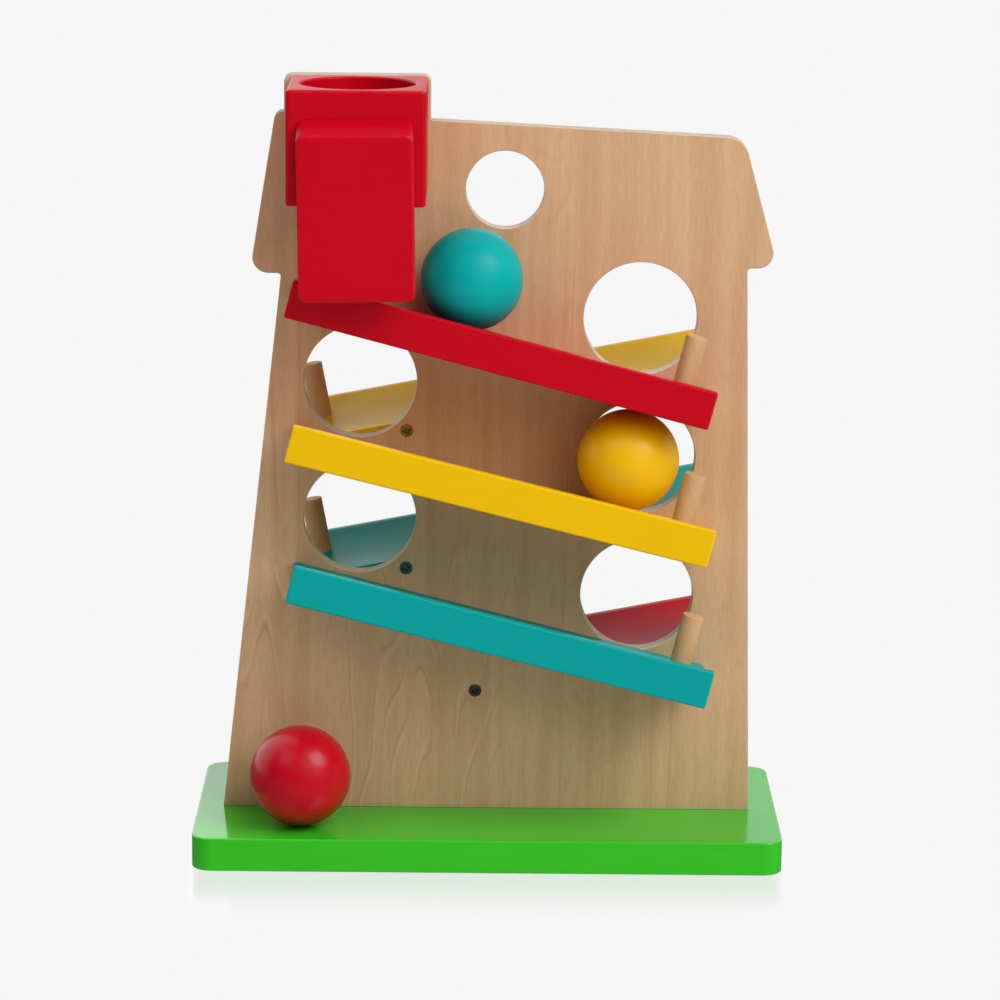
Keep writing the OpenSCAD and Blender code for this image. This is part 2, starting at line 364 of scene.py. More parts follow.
    @staticmethod
    def _wire_specks(g: Graph, given: dict, result: dict) -> None:
        """Wires sparse round specks, such as dust in a coat or pores in wood."""
        cells = g.add("ShaderNodeTexVoronoi", feature="F1")
        g.put(cells.inputs["Vector"], given["Vector"])
        g.put(cells.inputs["Scale"], g.math("DIVIDE", 1.0, given["Spacing"]))
        reach = g.math("DIVIDE", given["Size"], given["Spacing"])
        far = g.math("DIVIDE", cells.outputs["Distance"], reach)
        spot = g.math("SUBTRACT", 1.0, far, clamp=True)
        chosen = g.add("ShaderNodeSeparateColor")
        g.put(chosen.inputs[0], cells.outputs["Color"])
        g.put(result["Mask"], g.times(g.ramp(spot, 0.0, 0.5), g.ramp(chosen.outputs[0], 0.72, 0.78)))


# -----------------------------------------------------------------------------
# Finishes
# -----------------------------------------------------------------------------


class Finish:
    """A material that a piece is dressed in."""

    def __init__(self, name: str, slot: str) -> None:
        """Makes an empty material.

        Args:
            name: The material's name.
            slot: The record's material slot that the finish stands for.
        """
        self.slot = slot
        self.material = bpy.data.materials.new(name)
        self.material.use_nodes = True
        self.graph = Graph(self.material.node_tree)
        self.shader = self.material.node_tree.nodes["Principled BSDF"]
        self.place = self.graph.add("ShaderNodeTexCoord").outputs["Object"]

    def set(self, **values: object) -> None:
        """Sets the shader's sockets, with _ for a space in a name."""
        for name, value in values.items():
            self.graph.put(self.shader.inputs[name.replace("_", " ")], value)

    def bump(self, height: Socket, distance: float) -> None:
        """Feeds a height to the shader's normal.

        Args:
            height: The height, from 0 to 1.
            distance: How far that lifts the surface, in metres.
        """
        node = self.graph.add("ShaderNodeBump")
        node.inputs["Distance"].default_value = distance
        self.graph.put(node.inputs["Height"], height)
        self.graph.put(self.shader.inputs["Normal"], node.outputs["Normal"])

    def rim(self) -> Socket:
        """The mask of the piece's rounded edges."""
        return self.graph.add("ShaderNodeAttribute", attribute_name=RIM).outputs["Fac"]


@dataclass(frozen=True)
class Paint:
    """A sprayed coat on a wooden piece.

    Attributes:
        name: The coat's name.
        slot: The record's material slot.
        colour: Its colour.
        worn_and_highlight: Its colour at the rounded edges, lighter: partly a thin, worn coat and partly a
            painted highlight.
        roughness: Its roughness.
        specular: Its specular level.
        streaks: How strongly fibres show through.
        wear: How strongly its edges take that colour, as wear and as painted highlight.
        peel: How strong its orange peel is.
        relief: The height of its relief, in metres.
        dust_spacing: How far apart its dust specks are, in metres.
        dust_size: Their size, in metres.
        dust: How strongly they show.
    """

    name: str
    slot: str
    colour: Colour
    worn_and_highlight: Colour
    roughness: float = 0.36
    specular: float = 0.09
    streaks: float = 0.5
    wear: float = 0.35
    peel: float = 0.5
    relief: float = 0.00002
    dust_spacing: float = 0.011
    dust_size: float = 0.00035
    dust: float = 0.2

    def make(self, groups: SharedGroups) -> Finish:
        """Builds the coat's material.

        Args:
            groups: The shared node groups.

        Returns:
            The finish.
        """
        finish = Finish(self.name, self.slot)
        g, place = finish.graph, finish.place
        skin = g.group(groups.skin, Vector=place, Peel=self.peel, Streaks=self.streaks)
        wear = g.group(groups.wear, Vector=place, Rim=finish.rim(), Amount=self.wear)
        dust = g.group(groups.specks, Vector=place, Spacing=self.dust_spacing, Size=self.dust_size)
        body = g.mix(skin["Tone"], dimmed(self.colour, 0.9), self.colour)
        # The rounded edges turn lighter here: partly a worn coat, partly a painted highlight along them.
        body = g.mix(wear["Mask"], body, self.worn_and_highlight)
        body = g.mix(g.times(dust["Mask"], self.dust), body, dimmed(self.colour, 0.4))
        roughness = g.plus(skin["Roughness"], self.roughness, clamp=True)
        finish.set(Base_Color=body, Roughness=roughness, Specular_IOR_Level=self.specular)
        finish.bump(skin["Height"], self.relief)
        return finish


@dataclass(frozen=True)
class Wood:
    """Bare wood whose grain runs along the Z axis.

    Attributes:
        name: The wood's name.
        slot: The record's material slot.
        pale: Its early wood.
        dark: Its late wood.
        line: The thin lines between its growth rings.
        rings: How many growth rings a swell of the wood has.
        fibre_width: The width of a fibre, in metres.
        faded: How much of the figure is left where it has faded.
        fibres: How strongly the fibres show.
        bands: How strongly the pale bands of the rings show.
        lines: How strongly the lines and the streaks show.
        pores: How strongly the pores show.
        lines_low: The height below which the figure is at its clearest, in metres.
        lines_high: The height above which it has faded.
        lines_left: Where it is at its clearest, left of here.
        lines_right: Where it has faded, right of here.
        pore_spacing: How far apart the pores are, in metres.
        pore_size: Their size, in metres.
        pore_stretch: What makes them longer along the grain.
        specular: The wood's specular level.
        relief: The height of its relief, in metres.
    """

    name: str
    slot: str
    pale: Colour
    dark: Colour
    line: Colour
    rings: float = 11.0
    fibre_width: float = 0.0007
    faded: float = 0.22
    fibres: float = 0.3
    bands: float = 0.45
    lines: float = 0.5
    pores: float = 0.4
    lines_low: float = 0.11
    lines_high: float = 0.18
    lines_left: float = -0.02
    lines_right: float = 0.035
    pore_spacing: float = 0.003
    pore_size: float = 0.0005
    pore_stretch: Triple = (1.0, 1.0, 0.12)
    specular: float = 0.25
    relief: float = 0.00003

    def clearness(self, g: Graph, place: Socket) -> Socket:
        """Wires how clearly the figure is seen.

        Args:
            g: The material's graph.
            place: The object coordinates.

        Returns:
            The share of the figure that shows.
        """
        at = g.split(place)
        low = g.ramp(at["Z"], self.lines_low, self.lines_high, 1.0, 0.0)
        left = g.ramp(at["X"], self.lines_left, self.lines_right, 1.0, 0.0)
        return g.math("MAXIMUM", g.times(low, left), self.faded)

    def make(self, groups: SharedGroups) -> Finish:
        """Builds the wood's material.

        Args:
            groups: The shared node groups.

        Returns:
            The finish.
        """
        finish = Finish(self.name, self.slot)
        g, place = finish.graph, finish.place
        clear = self.clearness(g, place)
        grain = g.group(groups.grain, Vector=place, Rings=self.rings, Fibre_Width=self.fibre_width)
        pores = g.group(groups.specks, Vector=g.stretch(place, self.pore_stretch),
                        Spacing=self.pore_spacing, Size=self.pore_size)
        light = tuple(min(1.0, c) for c in dimmed(self.pale, 1.2))
        body = g.mix(grain["Cloud"], self.dark, self.pale)
        body = g.mix(g.times(g.times(grain["Pale"], clear), self.bands), body, light)
        body = g.mix(g.times(g.times(grain["Line"], clear), self.lines), body, self.line)
        body = g.mix(g.times(grain["Streak"], self.lines), body, self.line)
        body = g.mix(g.times(grain["Fibre"], self.fibres), body, dimmed(self.dark, 0.72))
        body = g.mix(g.times(pores["Mask"], self.pores), body, self.line)
        roughness = g.ramp(grain["Fibre"], 0.0, 1.0, 0.55, 0.68)
        finish.set(Base_Color=body, Roughness=roughness, Specular_IOR_Level=self.specular)
        finish.bump(grain["Fibre"], self.relief)
        return finish


@dataclass(frozen=True)
class PlyEdge:
    """The cut edge of plywood: plies stacked along Y, in turn along and across their grain.

    Attributes:
        name: The edge's name.
        slot: The record's material slot.
        long_grain: The colour of a ply that is cut along its grain.
        end_grain: The colour of one that is cut across it.
        glue: The colour of the glue between them.
        front: The Y of the board's front, in metres.
        ply: The thickness of a ply, in metres.
        waver_height: How far the glue lines waver, in metres.
        glue_width: The share of a ply that the glue darkens at each side.
        relief: The height of the edge's relief, in metres.
    """

    name: str
    slot: str
    long_grain: Colour
    end_grain: Colour
    glue: Colour
    front: float
    ply: float
    waver_height: float = 0.0004
    glue_width: float = 0.1
    relief: float = 0.00008

    WAVER = Noise(60.0)
    PORES = Noise(1500.0, 3.0, 0.7)
    FIBRES = Noise((90.0, 1800.0, 90.0))

    def make(self) -> Finish:
        """Builds the edge's material.

        Returns:
            The finish.
        """
        finish = Finish(self.name, self.slot)
        g, place = finish.graph, finish.place
        waver = g.times(g.math("SUBTRACT", g.noise(place, self.WAVER), 0.5), self.waver_height)
        behind = g.math("SUBTRACT", g.split(place)["Y"], self.front)
        depth = g.math("DIVIDE", g.plus(behind, waver), self.ply)
        inside = g.math("FRACT", depth)
        odd = g.math("MODULO", g.math("FLOOR", depth), 2.0)
        glue = g.math("MAXIMUM", g.ramp(inside, 0.0, self.glue_width, 1.0, 0.0),
                      g.ramp(inside, 1.0 - self.glue_width, 1.0))
        pores = g.noise(place, self.PORES)
        fibres = g.noise(place, self.FIBRES)
        body = g.mix(odd, self.long_grain, self.end_grain)
        body = g.mix(g.times(g.ramp(pores, 0.4, 0.75), 0.35), body, dimmed(self.end_grain, 0.6))
        body = g.mix(g.times(glue, 0.6), body, self.glue)
        roughness = g.ramp(pores, 0.3, 0.7, 0.6, 0.8)
        finish.set(Base_Color=body, Roughness=roughness, Specular_IOR_Level=0.25)
        finish.bump(g.plus(g.times(pores, 0.5), g.times(fibres, 0.5)), self.relief)
        return finish


@dataclass(frozen=True)
class Metal:
    """A plated steel, a little stained.

    Attributes:
        name: The metal's name.
        slot: The record's material slot.
        colour: Its colour where it is clean.
        roughness: Its roughness.
        relief: The height of its relief, in metres.
    """

    name: str
    slot: str
    colour: Colour
    roughness: float
    relief: float = 0.00003

    STAINS = Noise(700.0, 4.0, 0.6)

    def make(self) -> Finish:
        """Builds the metal's material.

        Returns:
            The finish.
        """
        finish = Finish(self.name, self.slot)
        g = finish.graph
        stains = g.noise(finish.place, self.STAINS)
        body = g.mix(g.ramp(stains, 0.35, 0.7), dimmed(self.colour, 0.55), self.colour)
        roughness = g.ramp(stains, 0.3, 0.7, self.roughness + 0.1, self.roughness - 0.05)
        finish.set(Base_Color=body, Roughness=roughness, Metallic=1.0)
        finish.bump(stains, self.relief)
        return finish


class Finishes:
    """Every finish of the marble run, by the name of what it is on."""

    PLIES = 5

    def __init__(self, groups: SharedGroups, panel_front: float, panel_thickness: float) -> None:
        """Builds the materials.

        Args:
            groups: The shared node groups.
            panel_front: The Y of the house panel's front, in metres.
            panel_thickness: The panel's thickness, in metres.
        """
        # Each coat's second colour is its lighter edge colour: partly a worn coat, partly a painted
        # highlight.
        self.green = Paint("green_coat", "green_paint", (0.034, 0.51, 0.014), (0.12, 0.62, 0.05),
                           roughness=0.15, specular=0.55, streaks=1.0).make(groups)
        self.red = Paint("red_coat", "red_paint", (0.545, 0.0, 0.01), (0.7, 0.03, 0.05)).make(groups)
        self.yellow = Paint("yellow_coat", "yellow_paint", (0.83, 0.49, 0.0),
                            (0.95, 0.68, 0.06)).make(groups)
        self.teal = Paint("teal_coat", "teal_paint", (0.0, 0.335, 0.318), (0.02, 0.5, 0.47)).make(groups)
        lacquer = {"streaks": 0.1, "wear": 0.0}
        self.red_ball = Paint("red_lacquer_coat", "red_lacquer", (0.5, 0.0, 0.01), (0.5, 0.0, 0.01),
                              roughness=0.27, specular=0.28, **lacquer).make(groups)
        self.yellow_ball = Paint("yellow_lacquer_coat", "yellow_lacquer", (0.84, 0.46, 0.0), (0.85, 0.5, 0.0),
                                 roughness=0.3, specular=0.25, **lacquer).make(groups)
        self.teal_ball = Paint("teal_lacquer_coat", "teal_lacquer", (0.0, 0.38, 0.36), (0.0, 0.38, 0.36),
                               roughness=0.34, specular=0.12, **lacquer).make(groups)
        self.veneer = Wood("birch_veneer", "plywood", (0.66, 0.412, 0.23), (0.584, 0.344, 0.18),
                           (0.5, 0.235, 0.11)).make(groups)
        self.ply = PlyEdge("ply_edge", "plywood", (0.72, 0.58, 0.43), (0.5, 0.42, 0.32), (0.36, 0.27, 0.18),
                           panel_front, panel_thickness / self.PLIES).make()
        self.dowel = Wood("beech_dowel", "beech", (0.65, 0.4, 0.2), (0.565, 0.33, 0.158), (0.46, 0.24, 0.12),
                          rings=30.0, fibre_width=0.0004, faded=0.7).make(groups)
        self.zinc = Metal("zinc_plate", "zinc_screw", (0.3, 0.28, 0.24), 0.28).make()


# -----------------------------------------------------------------------------
# Shapes
# -----------------------------------------------------------------------------


def arc(centre: Vector, radius: float, start: float, end: float, steps: int) -> list[Vector]:
    """Points along an arc.

    Args:
        centre: The arc's centre.
        radius: Its radius.
        start: The angle that it starts at, in radians.
        end: The angle that it ends at.
        steps: How many stretches it has.

    Returns:
        The points, ends included.
    """
    angles = [start + (end - start) * i / steps for i in range(steps + 1)]
    return [centre + radius * Vector((math.cos(a), math.sin(a))) for a in angles]


def rounded(corners: Sequence[tuple[float, float, float]], steps: int = 8) -> list[Vector]:
    """An outline with its corners rounded.

    Args:
        corners: Each corner's x, y and radius, anticlockwise.
        steps: How many stretches a rounded corner has.

    Returns:
        The outline's points.
    """
    points: list[Vector] = []
    for i, (x, y, radius) in enumerate(corners):
        corner = Vector((x, y))
        before = (Vector(corners[i - 1][:2]) - corner).normalized()
        after = (Vector(corners[(i + 1) % len(corners)][:2]) - corner).normalized()
        if radius == 0:
            points.append(corner)
            continue
        half = before.angle(after) / 2
        centre = corner + (before + after).normalized() * radius / math.sin(half)
        first = corner + before * radius / math.tan(half) - centre
        last = corner + after * radius / math.tan(half) - centre
        start = math.atan2(first.y, first.x)
        sweep = (math.atan2(last.y, last.x) - start + 3 * math.pi) % (2 * math.pi) - math.pi
        points += arc(centre, radius, start, start + sweep, steps)
    return points


def rectangle(width: float, height: float, radius: float, steps: int = 8) -> list[Vector]:
    """A rectangle about the origin with rounded corners."""
    x, y = width / 2, height / 2
    return rounded([(-x, -y, radius), (x, -y, radius), (x, y, radius), (-x, y, radius)], steps)


def circle(centre: Vector, radius: float, steps: int = 96) -> list[Vector]:
    """The points of a circle, anticlockwise."""
    return arc(centre, radius, 0.0, 2 * math.pi, steps)[:-1]


ORIGIN = Vector((0, 0))
X, Y, Z = Vector((1, 0, 0)), Vector((0, 1, 0)), Vector((0, 0, 1))


@dataclass(frozen=True)
class Ring:
    """Where one ring of a board's wall is.

    Attributes:
        inset: How far it is inside the outline.
        depth: How deep it is below the board's first face.
        rim: How much it belongs to a rounded edge, from 0 to 1.
    """

    inset: float
    depth: float
    rim: float = 0.0


def wall(thickness: float, edge: float, steps: int = 4) -> list[Ring]:
    """The rings of a wall with a rounded edge at each face.

    Args:
        thickness: The board's thickness.
        edge: The edges' radius.
        steps: How many stretches a rounded edge has.

    Returns:
        The rings, from the first face to the second.
    """
    turns = [math.pi / 2 * i / steps for i in range(steps + 1)]
    near = [Ring(edge * (1 - math.sin(a)), edge * (1 - math.cos(a)), math.sin(2 * a)) for a in turns]
    far = [Ring(r.inset, thickness - r.depth, r.rim) for r in reversed(near)]
    return near + far


def countersink(head: float, shank: float, recess: float, thickness: float) -> list[Ring]:
    """The rings of a screw's hole, measured from the head's rim.

    Args:
        head: The head's radius.
        shank: The shank's radius.
        recess: How far the head is below the first face.
        thickness: The board's thickness.

    Returns:
        The rings, from the first face to the second.
    """
    cone = head - shank
    rings = [Ring(0.0, 0.0), Ring(0.0, recess)] if recess else [Ring(0.0, 0.0)]
    return rings + [Ring(-cone, recess + cone), Ring(-cone, thickness)]


@dataclass
class Loop:
    """A closed line of a board, its outline or a hole, and the wall that stands on it.

    Attributes:
        points: Its points, anticlockwise.
        rings: Its wall.
        hole: Whether the wood is outside of it.
        blind: Whether the hole ends inside the board.
    """

    points: list[Vector]
    rings: list[Ring]
    hole: bool = False
    blind: bool = False


class Board:
    """A solid cut from a board: an outline with holes, walls with rounded edges, and two flat faces."""

    # The material index of the walls; the faces have index 0.
    WALL = 1
    # The least share of a corner's mitre, so that a sharp corner doesn't fly off.
    LEAST_REACH = 0.3

    def __init__(self, loops: Sequence[Loop]) -> None:
        """Builds the board, with its first face at z = 0 and the board behind it at positive z.

        Args:
            loops: The outline and the holes.
        """
        self.mesh = bmesh.new()
        self.base = self.mesh.verts.layers.float_vector.new("base")
        self.inward = self.mesh.verts.layers.float_vector.new("inward")
        self.rim = self.mesh.verts.layers.float.new(RIM)
        first: list[bmesh.types.BMEdge] = []
        last: list[bmesh.types.BMEdge] = []
        for loop in loops:
            start, end = self._wall(loop)
            first += start
            if loop.blind:
                bmesh.ops.triangle_fill(self.mesh, use_beauty=True, use_dissolve=False, edges=end)
            else:
                last += end
        for face in self.mesh.faces:
            face.material_index = self.WALL
        for edges in (first, last):
            bmesh.ops.triangle_fill(self.mesh, use_beauty=True, use_dissolve=False, edges=edges)
        bmesh.ops.recalc_face_normals(self.mesh, faces=self.mesh.faces)

    def _wall(self, loop: Loop) -> tuple[list[bmesh.types.BMEdge], list[bmesh.types.BMEdge]]:
        """Raises the wall on a loop.

        Args:
            loop: The loop.

        Returns:
            The edges of the first ring and of the last one.
        """
        count = len(loop.points)
        verts = []
        for i, point in enumerate(loop.points):
            before = (point - loop.points[i - 1]).normalized()
            after = (loop.points[(i + 1) % count] - point).normalized()
            normal = Vector((-before.y - after.y, before.x + after.x)).normalized()
            reach = max(self.LEAST_REACH, normal.dot(Vector((-after.y, after.x))))
            inward = normal / reach * (-1.0 if loop.hole else 1.0)
            vert = self.mesh.verts.new(point.to_3d())
            vert[self.base] = point.to_3d()
            vert[self.inward] = inward.to_3d()
            verts.append(vert)
        edges = [self.mesh.edges.new((verts[i - 1], verts[i])) for i in range(count)]
        self._settle(verts, loop.rings[0])
        first = edges
        for ring in loop.rings[1:]:
            made = bmesh.ops.extrude_edge_only(self.mesh, edges=edges)["geom"]
            edges = [e for e in made if isinstance(e, bmesh.types.BMEdge)]
            self._settle([v for v in made if isinstance(v, bmesh.types.BMVert)], ring)
        return first, edges

    def _settle(self, verts: Sequence[bmesh.types.BMVert], ring: Ring) -> None:
        """Moves the vertices of a ring to their place."""
        for vert in verts:
            vert.co = vert[self.base] + ring.inset * vert[self.inward]
            vert.co.z = ring.depth
            vert[self.rim] = ring.rim

    def place(self, matrix: Matrix) -> bmesh.types.BMesh:
        """Moves the board to its place.

        Args:
            matrix: From the board's own axes to the frame's.

        Returns:
            The mesh.
        """
        bmesh.ops.transform(self.mesh, matrix=matrix, verts=self.mesh.verts)
        bmesh.ops.recalc_face_normals(self.mesh, faces=self.mesh.faces)
        return self.mesh


def axes(x: Vector, y: Vector, z: Vector, origin: Vector) -> Matrix:
    """The matrix that carries the three unit axes and the origin to these."""
    matrix = Matrix((x, y, z)).transposed().to_4x4()
    matrix.translation = origin
    return matrix


# -----------------------------------------------------------------------------
# Pieces
# -----------------------------------------------------------------------------


class Workshop:
    """Turns meshes into dressed pieces that ride on the frame's bodies."""

    SHARP = math.radians(35)

    def finish(self, node: str, mesh: bmesh.types.BMesh, finishes: Sequence[Finish],
               body: str = HOUSE_BODY) -> None:
        """Makes a piece that stands for a node.

        Args:
            node: The node that the piece replaces.
            mesh: The piece's shape, in the frame's place.
            finishes: Its finishes, by material index.
            body: The body that it rides on.
        """
        data = stored(f"{node}_shape", mesh)
        data.shade_smooth()
        data.set_sharp_from_angle(angle=self.SHARP)
        piece = placed(f"{node}_piece", data)
        for finish in finishes:
            data.materials.append(finish.material)
        weights = piece.modifiers.new("even_shading", "WEIGHTED_NORMAL")
        weights.keep_sharp = True
        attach(piece, body)
        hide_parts(node)
        LOG.info("%s: %d faces in %s", piece.name, len(data.polygons), finishes[0].material.name)

    def dress(self, node: str, finish: Finish) -> None:
        """Gives a node that stays its finish."""
        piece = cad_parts[node]
        piece.data.materials.clear()
        piece.data.materials.append(finish.material)
        LOG.info("%s: kept, in %s", node, finish.material.name)


def size_and_middle(node: str) -> tuple[Vector, Vector]:
    """The size and the middle of a node's box."""
    low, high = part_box(node)
    return high - low, (low + high) / 2


# Screws of one group stand farther apart along X than this.
SCREW_GAP = 8 * MM


def screw_places(node: str) -> list[Vector]:
    """Where each screw of a group is.

    Args:
        node: The node of the group, whose screws stand apart along X.

    Returns:
        The middle of each screw's box.
    """
    points = sorted((v.co.copy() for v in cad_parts[node].data.vertices), key=lambda p: p.x)
    groups = [[points[0]]]
    for point in points[1:]:
        if point.x - groups[-1][-1].x > SCREW_GAP:
            groups.append([])
        groups[-1].append(point)
    return [(Vector(map(min, *group)) + Vector(map(max, *group))) / 2 for group in groups]


@dataclass
class Screws:
    """The countersunk cross-head screws of one group.

    Attributes:
        workshop: What turns them into a piece.
        finish: Their finish.
        node: The node of the group.
        way: The direction that they are driven in.
        head: The head's radius.
        shank: The shank's radius.
        lip: The rounding of the head's rim.
        arm: How far an arm of the driver's cross reaches.
        slot: Half the width of an arm.
        heart: How far out the cross's inner corners are, in half widths.
        drive_lip: The rounding of the cross's rim.
        drive_taper: How far the cross narrows to its bottom.
        recess: The cross's depth.
        tip: The length of the blunt tip.
        steps: How many stretches a turn has.
        first_turn: How far the first screw's cross is turned.
        next_turn: How much farther each next one is turned.
    """

    workshop: Workshop
    finish: Finish
    node: str
    way: Vector
    head: float = 3 * MM
    shank: float = 1.5 * MM
    lip: float = 0.12 * MM
    arm: float = 1.75 * MM
    slot: float = 0.42 * MM
    heart: float = 1.7
    drive_lip: float = 0.1 * MM
    drive_taper: float = 0.24 * MM
    recess: float = 1.5 * MM
    tip: float = 1.2 * MM
    steps: int = 32
    first_turn: float = 0.3
    next_turn: float = 1.1

    def cross(self, turn: float) -> list[Vector]:
        """The outline of the driver's recess.

        Args:
            turn: How far the cross is turned.

        Returns:
            Its points, anticlockwise.
        """
        corner = self.slot * self.heart
        quarter = [Vector((self.arm, -self.slot)), Vector((self.arm, self.slot)), Vector((corner, corner))]
        points = []
        for step in range(4):
            angle = turn + step * math.pi / 2
            cosine, sine = math.cos(angle), math.sin(angle)
            points += [Vector((p.x * cosine - p.y * sine, p.x * sine + p.y * cosine)) for p in quarter]
        return points

    def one(self, head_at: Vector, length: float, turn: float) -> bmesh.types.BMesh:
        """Builds one screw.

        Args:
            head_at: The middle of its head's face.
            length: Its length.
            turn: How far its cross is turned.

        Returns:
            Its mesh.
        """
        cone = self.head - self.shank
        body = [Ring(self.lip, 0.0), Ring(0.0, self.lip), Ring(cone, self.lip + cone),
                Ring(cone, length - self.tip), Ring(self.head - self.lip, length)]
        drive = [Ring(self.drive_lip, 0.0), Ring(0.0, self.drive_lip), Ring(-self.drive_taper, self.recess)]
        loops = [Loop(circle(ORIGIN, self.head, self.steps), body),
                 Loop(self.cross(turn), drive, hole=True, blind=True)]
        side = Z if abs(self.way.z) < 0.5 else X
        return Board(loops).place(axes(self.way.cross(side), side, self.way, head_at))

    def build(self) -> None:
        """Builds the group's screws at the places of the node's own."""
        size, _ = size_and_middle(self.node)
        length = abs(size.dot(self.way))
        group = bmesh.new()
        for number, place in enumerate(screw_places(self.node)):
            turn = self.first_turn + self.next_turn * number
            data = stored("screw_part", self.one(place - self.way * length / 2, length, turn))
            group.from_mesh(data)
            bpy.data.meshes.remove(data)
        self.workshop.finish(self.node, group, [self.finish, self.finish])


@dataclass
class ScrewHoles:
    """The sizes of a screw's countersunk hole.

    Attributes:
        head: The radius of its wide end.
        shank: The radius of its narrow end.
        steps: How many stretches its circle has.
    """

    head: float = 3.05 * MM
    shank: float = 1.55 * MM
    steps: int = 32

    def loop(self, centre: Vector, thickness: float, recess: float = 0.0, from_back: bool = False) -> Loop:
        """The loop of one hole.

        Args:
            centre: Its centre on the board's face.
            thickness: The board's thickness.
            recess: How far the head is below its face.
            from_back: Whether the head is at the board's second face.

        Returns:
            The loop.
        """
        rings = countersink(self.head, self.shank, recess, thickness)
        if from_back:
            rings = [Ring(r.inset, thickness - r.depth) for r in reversed(rings)]
        return Loop(circle(centre, self.head, self.steps), rings, hole=True)


@dataclass
class BaseBoard:
    """The painted board that the house stands on.

    Attributes:
        workshop: What turns it into a piece.
        finishes: Every finish.
        corner: The radius of its corners.
        edge: The radius of its edges.
        recess: How far the screws' heads are below its underside.
    """

    workshop: Workshop
    finishes: Finishes
    corner: float = 9 * MM
    edge: float = 0.8 * MM
    recess: float = 0.5 * MM

    def build(self) -> None:
        """Builds the board, with the holes of its three screws."""
        low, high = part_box("base_board")
        size = high - low
        outline = Loop(rectangle(size.x, size.y, self.corner, 12), wall(size.z, self.edge, 6))
        holes = [ScrewHoles().loop(p.to_2d(), size.z, self.recess) for p in screw_places("base_screws")]
        mesh = Board([outline, *holes]).place(axes(X, Y, Z, Vector((0, 0, low.z))))
        self.workshop.finish("base_board", mesh, [self.finishes.green, self.finishes.green])
        Screws(self.workshop, self.finishes.zinc, "base_screws", Z).build()


@dataclass
class HousePanel:
    """The plywood panel in the outline of a house, with its round holes.

    Attributes:
        workshop: What turns it into a piece.
        finishes: Every finish.
        edge: The radius of its edges.
        ball_hole: The radius of the holes that a ball drops through.
        finger_hole: The radius of the hole at the top.
    """

    workshop: Workshop
    finishes: Finishes
    edge: float = 0.35 * MM
    ball_hole: float = 25.25 * MM
    finger_hole: float = 17.3 * MM

    # The house's corners: x, height above the base board, corner radius, in millimetres.
    CORNERS = (
        (-119.8, 0, 0), (118.8, 0, 0), (113.2, 248.8, 1.5), (126.6, 249, 6.8), (110.7, 306.8, 10),
        (-27.6, 313.5, 1), (-27.6, 333.2, 3.5), (-92.2, 333.2, 3.5), (-92.2, 316.7, 0),
        (-96.1, 316.8, 3.5), (-107.5, 245, 7), (-93.6, 244.8, 1.5),
    )
    # The holes' centres: x and z, in millimetres.
    BALL_HOLES = ((66.1, 241), (66.2, 178), (66.3, 115), (-58.3, 211.6), (-58.4, 149.7))
    FINGER_HOLE = (5.4, 298.0)
    FROM_FRONT = ("rear_yellow_screws", "rear_teal_screws", "rear_red_screws")
    FROM_BACK = ("front_red_screws", "front_yellow_screws", "front_teal_screws", "block_screws")

    def build(self) -> None:
        """Builds the panel from its outline, its ball holes and its screw holes."""
        low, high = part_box("house_panel")
        thickness = high.y - low.y
        corners = [(x * MM, low.z + height * MM, radius * MM) for x, height, radius in self.CORNERS]
        rings = wall(thickness, self.edge, 3)
        loops = [Loop(rounded(corners), rings)]
        for centre in self.BALL_HOLES:
            loops.append(Loop(circle(Vector(centre) * MM, self.ball_hole, 128), rings, hole=True))
        loops.append(Loop(circle(Vector(self.FINGER_HOLE) * MM, self.finger_hole), rings, hole=True))
        for names, from_back in ((self.FROM_FRONT, False), (self.FROM_BACK, True)):
            for name in names:
                for place in screw_places(name):
                    centre = Vector((place.x, place.z))
                    loops.append(ScrewHoles().loop(centre, thickness, from_back=from_back))
        mesh = Board(loops).place(axes(X, Z, Y, Vector((0, low.y, 0))))
        self.workshop.finish("house_panel", mesh, [self.finishes.veneer, self.finishes.ply])
        for names, way in ((self.FROM_FRONT, Y), (self.FROM_BACK, -Y)):
            for name in names:
                Screws(self.workshop, self.finishes.zinc, name, way).build()


